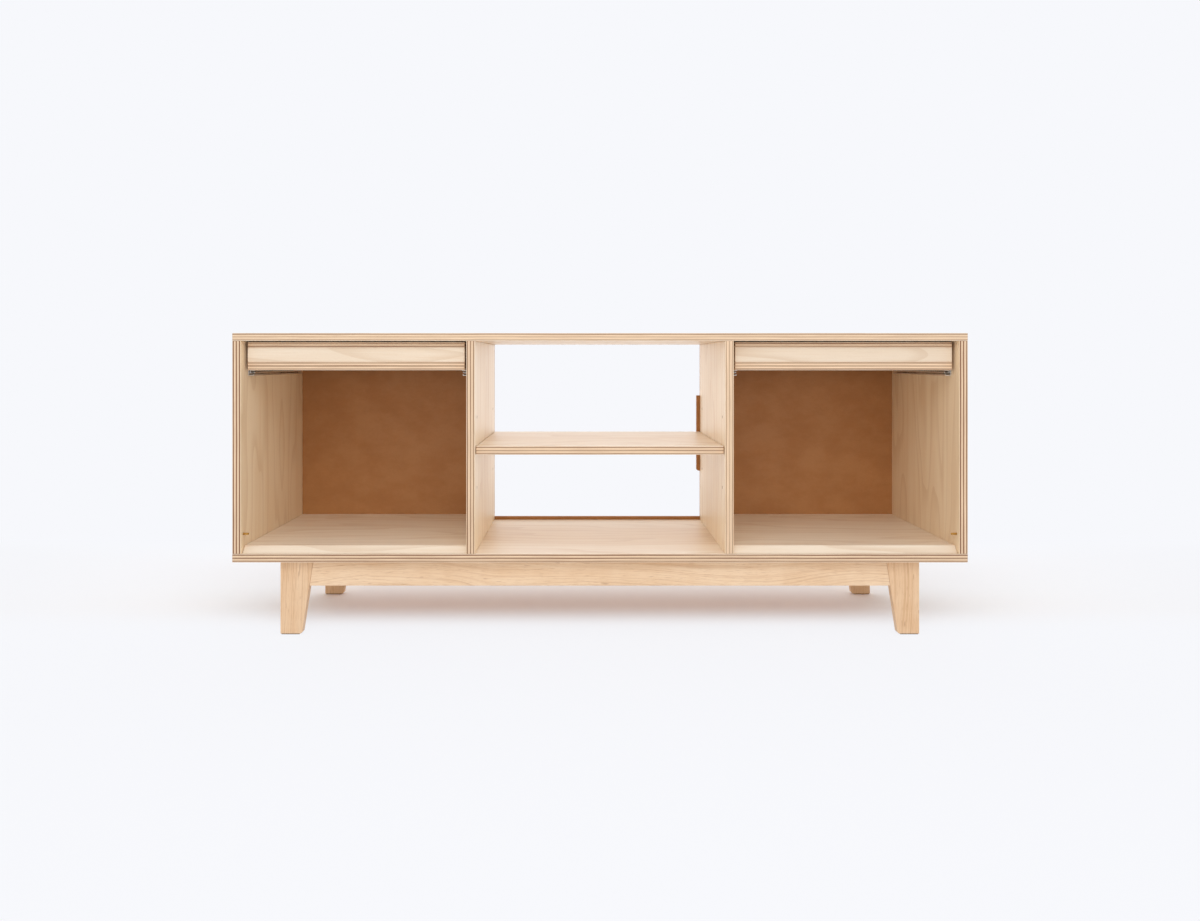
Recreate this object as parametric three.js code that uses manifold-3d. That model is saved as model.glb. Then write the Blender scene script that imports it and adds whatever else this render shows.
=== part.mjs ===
// Low plywood record cabinet: two record bays with shallow drawers on telescopic slides,
// an open centre bay with a shelf on pins, and a solid wood base on four tapered legs.
//
// All lengths are in millimetres. +X is to the right, +Z is up, and the front faces -Y.
// The origin is on the floor, under the middle of the cabinet's box.

import * as THREE from 'three';
import { mergeVertices } from 'three/addons/utils/BufferGeometryUtils.js';
import Module from 'manifold-3d';

const wasm = await Module();
wasm.setup();

// Carcass
const cabinetWidth = 1372;
const carcassHeight = 428;
const panelDepth = 381;
const plyThickness = 16;
const topThickness = 14.5;
const centreBayWidth = 467;

// Back sheet, with a window behind the centre bay and a tab beside the shelf
const backThickness = 6;
const backLipHeight = 7;
const backTabWidth = 8;
const backTabHeight = 171;
const backTabRise = 111;
const backTabCornerRadius = 5;

// Record floors, one on the bottom panel in each outer bay
const recordFloorThickness = 12.5;
const recordFloorSetback = 7;
const recordFloorBevelDepth = 12.5;
const recordFloorEndGap = 0.5;

// Centre shelf and its pins
const shelfRise = 184;
const shelfFrontRecess = 10;
const shelfEndGap = 1;
const shelfRearGap = 0.5;
const shelfPinRadius = 2.5;
const shelfPinExposed = 9;
const shelfPinEmbedded = 9.5;
const shelfPinRise = 2.2;
const shelfSlotEndRoom = 1;
const shelfHoleDepth = 10;
const shelfHolePitch = 67;
const shelfHoleInset = 37;

// Brass stop pins at the mouths of the record bays
const stopPinRadius = 2;
const stopPinExposed = 10;
const stopPinEmbedded = 9.5;
const stopPinHoleDepth = 10;
const stopPinSetback = 14;
const stopPinRise = 35;

// Drawer fronts, each of a face board between the bottom board's front edge and a cap strip
const drawerFrontRecess = 20;
const drawerFrontEndGap = 5.6;
const drawerFrontTopGap = 2;
const drawerFrontDepth = 16;
const faceBoardHeight = 26.5;
const capThickness = 10.5;

// Drawer boxes, whose sides and back stand on the bottom board
const boxBoardThickness = 12;
const boxBoardHeight = 27;

// Telescopic slides
const slideThickness = 12.7;
const slideHeight = 45;
const slideDrop = 10.5;
const slideSetback = 2;
const slideRearRoom = 43;
const slideGauge = 1.2;
const slideRaceGap = 3.4;
const slideLipHeight = 1.6;
const slideRunningClearance = 0.4;
const slideMiddleEndGap = 5;

// Base
const baseBoardThickness = 16;
const legLength = 138.5;
const legTopWidth = 62;
const legFootWidth = 40.5;
const legCornerRadius = 5;
const legInset = 83.5;
const baseFrontRecess = 20;
const baseRearRecess = 42;
const railHeight = 48;
const cornerBlockSize = 40;
const cornerBlockHeight = 38;
const glideMargin = 1.5;
const glideThickness = 1.5;

// Base screws
const screwShankRadius = 2;
const screwHeadRadius = 4.5;
const screwHeadHeight = 3;
const screwBite = 12;

// Clearances
const pinClearance = 0.2;
const seatGap = 0.2;
const jointGap = 0.2;
const cutOverrun = 1;

// Facets of round pieces and corners
const pinSegments = 24;
const cornerSegments = 6;

// Planes that the pieces share
const sideOuterX = cabinetWidth / 2;
const sideInnerX = sideOuterX - plyThickness;
const dividerInnerX = centreBayWidth / 2;
const dividerOuterX = dividerInnerX + plyThickness;
const bayCentreX = (sideInnerX + dividerOuterX) / 2;
const bayHalfWidth = (sideInnerX - dividerOuterX) / 2;

const frontY = -(panelDepth + backThickness) / 2;
const rearY = frontY + panelDepth;
const backY = rearY + backThickness;

const legBottomZ = glideThickness;
const carcassBottomZ = legBottomZ + legLength;
const floorZ = carcassBottomZ + plyThickness;
const carcassTopZ = carcassBottomZ + carcassHeight;
const ceilingZ = carcassTopZ - topThickness;

// Materials
const finish = (colour, roughness, metalness) =>
  new THREE.MeshStandardMaterial({ color: colour, roughness, metalness });

const birchPly = finish(0xe8cba9, 0.55, 0);
const birchSolid = finish(0xe3bd93, 0.5, 0);
const brownSheet = finish(0x9a6a38, 0.65, 0);
const zinc = finish(0xb8bbbd, 0.35, 1);
const brass = finish(0xc9a24a, 0.3, 1);
const steel = finish(0x9fa3a6, 0.4, 1);
const nylon = finish(0x3a3836, 0.6, 0);

// A mesh with its node name.
function piece(name, geometry, material) {
  const mesh = new THREE.Mesh(geometry, material);
  mesh.name = name;
  return mesh;
}

// Moves each vertex of a geometry to the place that a function gives.
function mapped(geometry, place) {
  const positions = geometry.attributes.position;
  for (let i = 0; i < positions.count; i += 1) {
    const [x, y, z] = place(positions.getX(i), positions.getY(i), positions.getZ(i));
    positions.setXYZ(i, x, y, z);
  }
  geometry.computeVertexNormals();
  return geometry;
}

// A board between two opposite corners.
function board(low, high) {
  const pick = (value, axis) => (value < 0 ? low[axis] : high[axis]);
  return mapped(new THREE.BoxGeometry(1, 1, 1), (x, y, z) => [pick(x, 0), pick(y, 1), pick(z, 2)]);
}

// A unit-deep extrusion of an outline, which the two prisms below stretch to length.
function extrusion(outline, hole) {
  const shape = new THREE.Shape(outline.map(([u, v]) => new THREE.Vector2(u, v)));
  if (hole) {
    shape.holes.push(new THREE.Path(hole.map(([u, v]) => new THREE.Vector2(u, v))));
  }
  return new THREE.ExtrudeGeometry(shape, { depth: 1, bevelEnabled: false });
}

// A bar of one section, given as [y, z] points, between two places along X.
function prismAlongX(section, startX, endX) {
  return mapped(extrusion(section), (u, v, w) => [w > 0 ? endX : startX, u, v]);
}

// A bar or sheet of one section, given as [x, z] points, between two places along Y.
function prismAlongY(section, startY, endY, hole) {
  return mapped(extrusion(section, hole), (u, v, w) => [u, w > 0 ? startY : endY, v]);
}

// A round bar whose axis lies along X, from one place to another.
function rodAlongX(radius, startX, endX, y, z) {
  const rod = new THREE.CylinderGeometry(radius, radius, Math.abs(endX - startX), pinSegments);
  rod.rotateZ(Math.PI / 2);
  return rod.translate((startX + endX) / 2, y, z);
}

// A round bar that stands upright between two heights.
function rodAlongZ(radius, startZ, endZ, x, y) {
  const rod = new THREE.CylinderGeometry(radius, radius, endZ - startZ, pinSegments);
  rod.rotateX(Math.PI / 2);
  return rod.translate(x, y, (startZ + endZ) / 2);
}

// A closed solid of a geometry, with its shared vertices merged.
function solidOf(geometry) {
  const bare = geometry.clone();
  bare.deleteAttribute('normal');
  bare.deleteAttribute('uv');
  const merged = mergeVertices(bare);
  return new wasm.Manifold(
    new wasm.Mesh({
      numProp: 3,
      vertProperties: new Float32Array(merged.attributes.position.array),
      triVerts: new Uint32Array(merged.index.array),
    }),
  );
}

// A geometry less each of the cutting geometries.
function cut(geometry, cutters) {
  const result = cutters.reduce((body, cutter) => body.subtract(solidOf(cutter)), solidOf(geometry));
  const mesh = result.getMesh();
  const left = new THREE.BufferGeometry();
  left.setAttribute('position', new THREE.BufferAttribute(mesh.vertProperties, 3));
  left.setIndex(new THREE.BufferAttribute(mesh.triVerts, 1));
  left.computeVertexNormals();
  return left;
}

// The points of a round corner between two straight edges of an outline.
function roundCorner(before, corner, after, radius) {
  const at = (p) => new THREE.Vector2(p[0], p[1]);
  const toBefore = at(before).sub(at(corner)).normalize();
  const toAfter = at(after).sub(at(corner)).normalize();
  const halfAngle = Math.acos(toBefore.dot(toAfter)) / 2;
  const bisector = toBefore.clone().add(toAfter).normalize();
  const centre = at(corner).addScaledVector(bisector, radius / Math.sin(halfAngle));
  const run = radius / Math.tan(halfAngle);
  const start = at(corner).addScaledVector(toBefore, run).sub(centre).angle();
  const end = at(corner).addScaledVector(toAfter, run).sub(centre).angle();
  const turn = ((end - start + 3 * Math.PI) % (2 * Math.PI)) - Math.PI;
  const points = [];
  for (let i = 0; i <= cornerSegments; i += 1) {
    const angle = start + (turn * i) / cornerSegments;
    points.push([centre.x + radius * Math.cos(angle), centre.y + radius * Math.sin(angle)]);
  }
  return points;
}

// Sides of the cabinet, as a name and a sign along X
const sides = [['left', -1], ['right', 1]];

// Top panel, plain, over the sides and dividers
function topPanel() {
  const geometry = board([-sideOuterX, frontY, ceilingZ], [sideOuterX, rearY, carcassTopZ]);
  return piece('top_panel', geometry, birchPly);
}

// Places of the four base screws, shared by the bottom panel, corner blocks and screws
const legOuterX = sideOuterX - legInset;
const frontLegY = [frontY + baseFrontRecess, frontY + baseFrontRecess + baseBoardThickness];
const rearLegY = [rearY - baseRearRecess - baseBoardThickness, rearY - baseRearRecess];
const sideRailInnerX = legOuterX - baseBoardThickness;
const screwX = sideRailInnerX - cornerBlockSize / 2;
const screwPlaces = [
  ['front', frontLegY[1] + cornerBlockSize / 2],
  ['rear', rearLegY[0] - cornerBlockSize / 2],
];

// Bottom panel, under the sides and dividers, with blind holes for the base screws
function bottomPanel() {
  const geometry = board([-sideOuterX, frontY, carcassBottomZ], [sideOuterX, rearY, floorZ]);
  const radius = screwShankRadius + pinClearance;
  const topZ = carcassBottomZ + screwBite + seatGap;
  const holes = sides.flatMap(([, sign]) =>
    screwPlaces.map(([, y]) => rodAlongZ(radius, carcassBottomZ - cutOverrun, topZ, sign * screwX, y)),
  );
  return piece('bottom_panel', cut(geometry, holes), birchPly);
}

// Outer side, with a blind hole for its stop pin
const stopPinY = frontY + stopPinSetback;
const stopPinZ = floorZ + stopPinRise;

function sidePanel(name, sign) {
  const x = [sign * sideInnerX, sign * sideOuterX].sort((a, b) => a - b);
  const geometry = board([x[0], frontY, floorZ], [x[1], rearY, ceilingZ]);
  const mouthX = sign * (sideInnerX - cutOverrun);
  const endX = sign * (sideInnerX + stopPinHoleDepth);
  const hole = rodAlongX(stopPinRadius + pinClearance, mouthX, endX, stopPinY, stopPinZ);
  return piece(`${name}_side`, cut(geometry, [hole]), birchPly);
}

// Stop pin, set in the outer side just behind the mouth of the record bay
function stopPin(name, sign) {
  const startX = sign * (sideInnerX - stopPinExposed);
  const endX = sign * (sideInnerX + stopPinEmbedded);
  return piece(`${name}_stop_pin`, rodAlongX(stopPinRadius, startX, endX, stopPinY, stopPinZ), brass);
}

// Shelf, its pins and the three rows of holes that they can stand in
const shelfBottomZ = floorZ + shelfRise;
const shelfPinZ = shelfBottomZ + shelfPinRise;
const shelfPinRows = [['front', frontY + shelfHoleInset], ['rear', rearY - shelfHoleInset]];
const shelfHoleLevels = [shelfPinZ - shelfHolePitch, shelfPinZ, shelfPinZ + shelfHolePitch];

function divider(name, sign) {
  const x = [sign * dividerInnerX, sign * dividerOuterX].sort((a, b) => a - b);
  const geometry = board([x[0], frontY, floorZ], [x[1], rearY, ceilingZ]);
  const mouthX = sign * (dividerInnerX - cutOverrun);
  const endX = sign * (dividerInnerX + shelfHoleDepth);
  const holes = shelfPinRows.flatMap(([, y]) =>
    shelfHoleLevels.map((z) => rodAlongX(shelfPinRadius + pinClearance, mouthX, endX, y, z)),
  );
  return piece(`${name}_divider`, cut(geometry, holes), birchPly);
}

// Shelf with a blind slot in its underside over each pin, which hides the pin and holds the shelf
function centreShelf() {
  const halfWidth = dividerInnerX - shelfEndGap;
  const low = [-halfWidth, frontY + shelfFrontRecess, shelfBottomZ];
  const high = [halfWidth, rearY - shelfRearGap, shelfBottomZ + plyThickness];
  const slotInnerX = dividerInnerX - shelfPinExposed - shelfSlotEndRoom;
  const slotHalfDepth = shelfPinRadius + pinClearance;
  const slotTopZ = shelfPinZ + shelfPinRadius + seatGap;
  const slots = sides.flatMap(([, sign]) => {
    const x = [sign * slotInnerX, sign * (halfWidth + cutOverrun)].sort((a, b) => a - b);
    return shelfPinRows.map(([, y]) => {
      const slotLow = [x[0], y - slotHalfDepth, shelfBottomZ - cutOverrun];
      return board(slotLow, [x[1], y + slotHalfDepth, slotTopZ]);
    });
  });
  return piece('centre_shelf', cut(board(low, high), slots), birchPly);
}

function shelfPin(name, sign, row, y) {
  const startX = sign * (dividerInnerX - shelfPinExposed);
  const endX = sign * (dividerInnerX + shelfPinEmbedded);
  return piece(`${name}_${row}_shelf_pin`, rodAlongX(shelfPinRadius, startX, endX, y, shelfPinZ), steel);
}

// Record floor, a board with its front edge bevelled over its whole thickness
function recordFloor(name, sign) {
  const topZ = floorZ + recordFloorThickness;
  const section = [
    [frontY + recordFloorSetback, floorZ],
    [rearY, floorZ],
    [rearY, topZ],
    [frontY + recordFloorSetback + recordFloorBevelDepth, topZ],
  ];
  const halfWidth = bayHalfWidth - recordFloorEndGap;
  const centreX = sign * bayCentreX;
  const geometry = prismAlongX(section, centreX - halfWidth, centreX + halfWidth);
  return piece(`${name}_record_floor`, geometry, birchPly);
}

// Back sheet over the rear edges of all the panels. Its window ends a lip above the centre
// bay's floor, and its tab stands past the right divider beside the shelf.
function backPanel() {
  const outline = [
    [-sideOuterX, carcassBottomZ],
    [sideOuterX, carcassBottomZ],
    [sideOuterX, carcassTopZ],
    [-sideOuterX, carcassTopZ],
  ];
  const lipZ = floorZ + backLipHeight;
  const tabX = dividerInnerX - backTabWidth;
  const tabBottomZ = floorZ + backTabRise;
  const tabTopZ = tabBottomZ + backTabHeight;
  const tabCorner = roundCorner(
    [dividerInnerX, tabBottomZ],
    [tabX, tabBottomZ],
    [tabX, tabTopZ],
    backTabCornerRadius,
  );
  const windowOutline = [
    [-dividerInnerX, lipZ],
    [dividerInnerX, lipZ],
    [dividerInnerX, tabBottomZ],
    ...tabCorner,
    [tabX, tabTopZ],
    [dividerInnerX, tabTopZ],
    [dividerInnerX, ceilingZ],
    [-dividerInnerX, ceilingZ],
  ];
  return piece('back_panel', prismAlongY(outline, rearY, backY, windowOutline), brownSheet);
}

// Carcass, with the shelf and the pieces that are fixed in it
function carcass() {
  const group = new THREE.Group();
  group.add(topPanel(), bottomPanel(), backPanel(), centreShelf());
  for (const [name, sign] of sides) {
    group.add(sidePanel(name, sign), divider(name, sign), recordFloor(name, sign), stopPin(name, sign));
    for (const [row, y] of shelfPinRows) {
      group.add(shelfPin(name, sign, row, y));
    }
  }
  return group;
}

// Drawer. Its pieces are built round the middle of its bay, and their group moves them there.
const drawerFrontY = frontY + drawerFrontRecess;
const drawerBackPlaneY = drawerFrontY + drawerFrontDepth;
const drawerHalfWidth = bayHalfWidth - drawerFrontEndGap;
const drawerTopZ = ceilingZ - drawerFrontTopGap;
const capBottomZ = drawerTopZ - capThickness;
const trayZ = capBottomZ - faceBoardHeight;
const drawerBottomZ = trayZ - plyThickness;
const boxTopZ = trayZ + boxBoardHeight;
const boxEndY = rearY - slideRearRoom;
const slideOuterX = bayHalfWidth - seatGap;
const slideInnerX = slideOuterX - slideThickness;
const boxOuterX = slideInnerX - seatGap;
const boxInnerX = boxOuterX - boxBoardThickness;

// Bottom board, as wide as the drawer's front along its front edge, where it shows, and notched
// on both sides behind that for the slides
function drawerBottom(name) {
  const low = [-drawerHalfWidth, drawerFrontY, drawerBottomZ];
  const plank = board(low, [drawerHalfWidth, boxEndY, trayZ]);
  const notches = sides.map(([, sign]) => {
    const x = [sign * boxOuterX, sign * (drawerHalfWidth + cutOverrun)].sort((a, b) => a - b);
    const notchLow = [x[0], drawerBackPlaneY, drawerBottomZ - cutOverrun];
    return board(notchLow, [x[1], boxEndY + cutOverrun, trayZ + cutOverrun]);
  });
  return piece(`${name}_drawer_bottom`, cut(plank, notches), birchPly);
}

// Face board, which stands on the front of the bottom board
function drawerFront(name) {
  const low = [-drawerHalfWidth, drawerFrontY, trayZ];
  const geometry = board(low, [drawerHalfWidth, drawerBackPlaneY, capBottomZ]);
  return piece(`${name}_drawer_front`, geometry, birchPly);
}

// Cap strip on the face board, laid flat so that its layered edge shows
function drawerCap(name) {
  const low = [-drawerHalfWidth, drawerFrontY, capBottomZ];
  const geometry = board(low, [drawerHalfWidth, drawerBackPlaneY, drawerTopZ]);
  return piece(`${name}_drawer_cap`, geometry, birchPly);
}

function drawerSide(name, end, sign) {
  const x = [sign * boxInnerX, sign * boxOuterX].sort((a, b) => a - b);
  const geometry = board([x[0], drawerBackPlaneY, trayZ], [x[1], boxEndY, boxTopZ]);
  return piece(`${name}_drawer_${end}_side`, geometry, birchPly);
}

function drawerBack(name) {
  const low = [-boxInnerX, boxEndY - boxBoardThickness, trayZ];
  return piece(`${name}_drawer_back`, board(low, [boxInnerX, boxEndY, boxTopZ]), birchPly);
}

// Telescopic slide of three nested channels, between the bay's wall and the drawer's side
const slideBottomZ = drawerBottomZ - slideDrop;
const slideTopZ = slideBottomZ + slideHeight;
const slideStartY = drawerBackPlaneY + slideSetback;
const slideEndY = boxEndY;
const nestingStep = slideGauge + slideRaceGap;

// A channel's section: a web on one side, two flanges that reach from it and a lip on each
// flange, which turns into the channel and keeps the balls in their race
function channelSection(webX, lipX, lowZ, highZ) {
  const inwards = Math.sign(webX - lipX);
  const innerWebX = webX - inwards * slideGauge;
  const innerLipX = lipX + inwards * slideGauge;
  const lowFlangeZ = lowZ + slideGauge;
  const highFlangeZ = highZ - slideGauge;
  return [
    [webX, lowZ],
    [lipX, lowZ],
    [lipX, lowFlangeZ + slideLipHeight],
    [innerLipX, lowFlangeZ + slideLipHeight],
    [innerLipX, lowFlangeZ],
    [innerWebX, lowFlangeZ],
    [innerWebX, highFlangeZ],
    [innerLipX, highFlangeZ],
    [innerLipX, highFlangeZ - slideLipHeight],
    [lipX, highFlangeZ - slideLipHeight],
    [lipX, highZ],
    [webX, highZ],
  ];
}

// Cabinet member, which is screwed to the wall of the bay
function slideCabinetMember(name, end, sign) {
  const lipX = slideInnerX + slideGauge + slideRunningClearance;
  const section = channelSection(sign * slideOuterX, sign * lipX, slideBottomZ, slideTopZ);
  return piece(`${name}_bay_${end}_slide_cabinet`, prismAlongY(section, slideStartY, slideEndY), zinc);
}

// Middle member, which runs in the cabinet member
function slideMiddleMember(name, end, sign) {
  const webX = slideOuterX - slideGauge - slideRunningClearance;
  const lipX = slideInnerX + slideGauge + slideRunningClearance;
  const lowZ = slideBottomZ + nestingStep;
  const section = channelSection(sign * webX, sign * lipX, lowZ, slideTopZ - nestingStep);
  const startY = slideStartY + slideMiddleEndGap;
  const endY = slideEndY - slideMiddleEndGap;
  return piece(`${name}_bay_${end}_slide_middle`, prismAlongY(section, startY, endY), zinc);
}

// Drawer member, which is screwed to the drawer's side and opens towards the wall
function slideDrawerMember(name, end, sign) {
  const lipX = slideOuterX - 2 * (slideGauge + slideRunningClearance);
  const lowZ = slideBottomZ + 2 * nestingStep;
  const highZ = slideTopZ - 2 * nestingStep;
  const section = channelSection(sign * slideInnerX, sign * lipX, lowZ, highZ);
  return piece(`${name}_bay_${end}_slide_drawer`, prismAlongY(section, slideStartY, slideEndY), zinc);
}

function drawer(name, sign) {
  const group = new THREE.Group();
  group.position.x = sign * bayCentreX;
  group.add(drawerBottom(name), drawerFront(name), drawerCap(name), drawerBack(name));
  for (const [end, endSign] of sides) {
    group.add(drawerSide(name, end, endSign));
    group.add(slideCabinetMember(name, end, endSign));
    group.add(slideMiddleMember(name, end, endSign));
    group.add(slideDrawerMember(name, end, endSign));
  }
  return group;
}

// Base
const railBottomZ = carcassBottomZ - railHeight;
const blockBottomZ = carcassBottomZ - cornerBlockHeight;

// Distance of the tapered inner edge of a leg from the middle of the cabinet
function legInnerX(z) {
  const rise = (z - legBottomZ) / legLength;
  return legOuterX - legFootWidth - (legTopWidth - legFootWidth) * rise;
}

// Leg, a board with a straight outer edge, a tapered inner edge and a round inner foot corner
function leg(name, row, sign, rangeY) {
  const outerFoot = [legOuterX, legBottomZ];
  const innerFoot = [legInnerX(legBottomZ), legBottomZ];
  const outerTop = [legOuterX, carcassBottomZ];
  const innerTop = [legInnerX(carcassBottomZ), carcassBottomZ];
  const innerCorner = roundCorner(innerTop, innerFoot, outerFoot, legCornerRadius);
  const outline = [outerTop, innerTop, ...innerCorner, outerFoot];
  const section = outline.map(([x, z]) => [sign * x, z]);
  return piece(`${name}_${row}_leg`, prismAlongY(section, rangeY[0], rangeY[1]), birchSolid);
}

// Glide, a flat pad under the flat of a leg's foot
function glide(name, row, sign, rangeY) {
  const innerX = legOuterX - legFootWidth + legCornerRadius;
  const x = [sign * innerX, sign * (legOuterX - glideMargin)].sort((a, b) => a - b);
  const low = [x[0], rangeY[0] + glideMargin, 0];
  const high = [x[1], rangeY[1] - glideMargin, glideThickness];
  return piece(`${name}_${row}_glide`, board(low, high), nylon);
}

// Long rail, with its ends cut to the taper of the legs
function longRail(row, rangeY) {
  const lowX = legInnerX(railBottomZ) - jointGap;
  const highX = legInnerX(carcassBottomZ) - jointGap;
  const section = [
    [-lowX, railBottomZ],
    [lowX, railBottomZ],
    [highX, carcassBottomZ],
    [-highX, carcassBottomZ],
  ];
  return piece(`${row}_rail`, prismAlongY(section, rangeY[0], rangeY[1]), birchSolid);
}

function sideRail(name, sign) {
  const x = [sign * sideRailInnerX, sign * legOuterX].sort((a, b) => a - b);
  const geometry = board([x[0], frontLegY[1], railBottomZ], [x[1], rearLegY[0], carcassBottomZ]);
  return piece(`${name}_base_rail`, geometry, birchSolid);
}

// Corner block, between a leg and the side rail, with a through hole for its screw
function cornerBlock(name, row, sign, y) {
  const x = [sign * sideRailInnerX, sign * (sideRailInnerX - cornerBlockSize)].sort((a, b) => a - b);
  const nearLeg = row === 'front' ? frontLegY[1] : rearLegY[0];
  const far = row === 'front' ? nearLeg + cornerBlockSize : nearLeg - cornerBlockSize;
  const rangeY = [nearLeg, far].sort((a, b) => a - b);
  const geometry = board([x[0], rangeY[0], blockBottomZ], [x[1], rangeY[1], carcassBottomZ]);
  const lowZ = blockBottomZ - cutOverrun;
  const highZ = carcassBottomZ + cutOverrun;
  const hole = rodAlongZ(screwShankRadius + pinClearance, lowZ, highZ, sign * screwX, y);
  return piece(`${name}_${row}_corner_block`, cut(geometry, [hole]), birchSolid);
}

// Screw with a flat round head under the corner block
function baseScrew(name, row, sign, y) {
  const headTopZ = blockBottomZ - seatGap;
  const profile = [
    [0, headTopZ - screwHeadHeight],
    [screwHeadRadius, headTopZ - screwHeadHeight],
    [screwHeadRadius, headTopZ],
    [screwShankRadius, headTopZ],
    [screwShankRadius, carcassBottomZ + screwBite],
    [0, carcassBottomZ + screwBite],
  ];
  const screw = new THREE.LatheGeometry(profile.map(([r, z]) => new THREE.Vector2(r, z)), pinSegments);
  screw.rotateX(Math.PI / 2);
  const mesh = piece(`${name}_${row}_base_screw`, screw, steel);
  mesh.position.set(sign * screwX, y, 0);
  return mesh;
}

function base() {
  const group = new THREE.Group();
  group.add(longRail('front', frontLegY), longRail('rear', rearLegY));
  for (const [name, sign] of sides) {
    group.add(sideRail(name, sign));
    for (const [row, rangeY] of [['front', frontLegY], ['rear', rearLegY]]) {
      group.add(leg(name, row, sign, rangeY), glide(name, row, sign, rangeY));
    }
    for (const [row, y] of screwPlaces) {
      group.add(cornerBlock(name, row, sign, y), baseScrew(name, row, sign, y));
    }
  }
  return group;
}

const cabinet = new THREE.Group();
cabinet.add(carcass(), base());
for (const [name, sign] of sides) {
  cabinet.add(drawer(name, sign));
}

export default cabinet;
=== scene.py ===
"""Looks of the plywood record cabinet: camera, light, wood, metal and small fittings.

Lengths are in metres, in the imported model's frame: X to the right, Z up, the front towards -Y.
"""

import math

import bmesh
import bpy
from mathutils import Matrix, Vector


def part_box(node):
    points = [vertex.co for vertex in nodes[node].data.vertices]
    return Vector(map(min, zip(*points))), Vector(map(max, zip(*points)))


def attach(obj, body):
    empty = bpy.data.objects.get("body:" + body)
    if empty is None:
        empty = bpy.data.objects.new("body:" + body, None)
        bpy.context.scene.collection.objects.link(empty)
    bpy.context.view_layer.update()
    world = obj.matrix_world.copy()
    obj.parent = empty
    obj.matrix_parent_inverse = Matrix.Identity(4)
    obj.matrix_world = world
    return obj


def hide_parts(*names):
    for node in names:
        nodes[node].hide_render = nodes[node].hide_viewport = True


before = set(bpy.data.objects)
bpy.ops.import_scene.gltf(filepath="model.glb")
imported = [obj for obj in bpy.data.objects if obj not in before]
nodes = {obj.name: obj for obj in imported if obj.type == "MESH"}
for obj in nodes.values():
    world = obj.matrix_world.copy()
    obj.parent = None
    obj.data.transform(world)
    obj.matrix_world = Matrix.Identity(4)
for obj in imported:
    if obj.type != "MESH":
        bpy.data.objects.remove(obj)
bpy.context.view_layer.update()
scene = bpy.context.scene

X, Y, Z = 0, 1, 2
SIDES = (("left", -1), ("right", 1))
ROWS = ("front", "rear")


# Camera, level and in front of the cabinet, just left of its middle

camera_data = bpy.data.cameras.new("camera")
camera_data.lens = 27.93
camera_data.sensor_width = 36
camera_data.shift_x = 0.0129
camera_data.shift_y = -0.0821
camera = bpy.data.objects.new("camera", camera_data)
camera.location = (-0.0289, -1.9295, 0.514)
camera.rotation_euler = (math.radians(90), 0, 0)
scene.collection.objects.link(camera)
scene.camera = camera


# Node trees


def srgb(red, green, blue):
    """A colour given in 0 to 255 values, in the linear form that shaders take."""

    def linear(value):
        value /= 255
        return value / 12.92 if value <= 0.04045 else ((value + 0.055) / 1.055) ** 2.4

    return (linear(red), linear(green), linear(blue), 1.0)


class Graph:
    """Short calls that add nodes to one node tree and return their outputs."""

    def __init__(self, tree):
        self.tree = tree

    def put(self, socket, value):
        if isinstance(value, bpy.types.NodeSocket):
            self.tree.links.new(value, socket)
        elif value is not None:
            socket.default_value = value

    def add(self, kind, values=(), **settings):
        node = self.tree.nodes.new(kind)
        for name, value in settings.items():
            setattr(node, name, value)
        for name, value in dict(values).items():
            self.put(node.inputs[name], value)
        return node

    def math(self, operation, a, b=None, c=None):
        values = {0: a, 1: b, 2: c}
        return self.add("ShaderNodeMath", values, operation=operation).outputs[0]

    def plus(self, a, b):
        return self.math("ADD", a, b)

    def minus(self, a, b):
        return self.math("SUBTRACT", a, b)

    def times(self, a, b):
        return self.math("MULTIPLY", a, b)

    def scaled(self, value, factor, added):
        return self.math("MULTIPLY_ADD", value, factor, added)

    def absolute(self, value):
        return self.math("ABSOLUTE", value)

    def least(self, a, b):
        return self.math("MINIMUM", a, b)

    def most(self, a, b):
        return self.math("MAXIMUM", a, b)

    def vector(self, operation, a, b=None):
        return self.add("ShaderNodeVectorMath", {0: a, 1: b}, operation=operation).outputs[0]

    def length(self, vector):
        node = self.add("ShaderNodeVectorMath", {0: vector}, operation="LENGTH")
        return node.outputs["Value"]

    def split(self, vector):
        return self.add("ShaderNodeSeparateXYZ", {0: vector}).outputs[:]

    def join(self, x=0.0, y=0.0, z=0.0):
        return self.add("ShaderNodeCombineXYZ", {0: x, 1: y, 2: z}).outputs[0]

    def object_place(self):
        return self.add("ShaderNodeTexCoord").outputs["Object"]

    def noise(self, point, detail=2.0, roughness=0.5, distortion=0.0):
        values = {
            "Vector": point,
            "Scale": 1.0,
            "Detail": detail,
            "Roughness": roughness,
            "Distortion": distortion,
        }
        return self.add("ShaderNodeTexNoise", values).outputs[0]

    def random(self, number):
        values = {"W": number}
        return self.add("ShaderNodeTexWhiteNoise", values, noise_dimensions="1D").outputs[0]

    def remap(self, value, low, high, to_low=0.0, to_high=1.0, kind="SMOOTHSTEP"):
        values = {
            "Value": value,
            "From Min": low,
            "From Max": high,
            "To Min": to_low,
            "To Max": to_high,
        }
        return self.add("ShaderNodeMapRange", values, interpolation_type=kind).outputs[0]

    def blend(self, factor, a, b):
        """A mix of two numbers, which the mix node takes in its sockets 2 and 3."""
        return self.add("ShaderNodeMix", {0: factor, 2: a, 3: b}).outputs[0]

    def tint(self, factor, a, b, kind="MIX"):
        """A mix of two colours, which the mix node takes in its sockets 6 and 7."""
        values = {0: factor, 6: a, 7: b}
        return self.add("ShaderNodeMix", values, data_type="RGBA", blend_type=kind).outputs[2]


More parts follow.
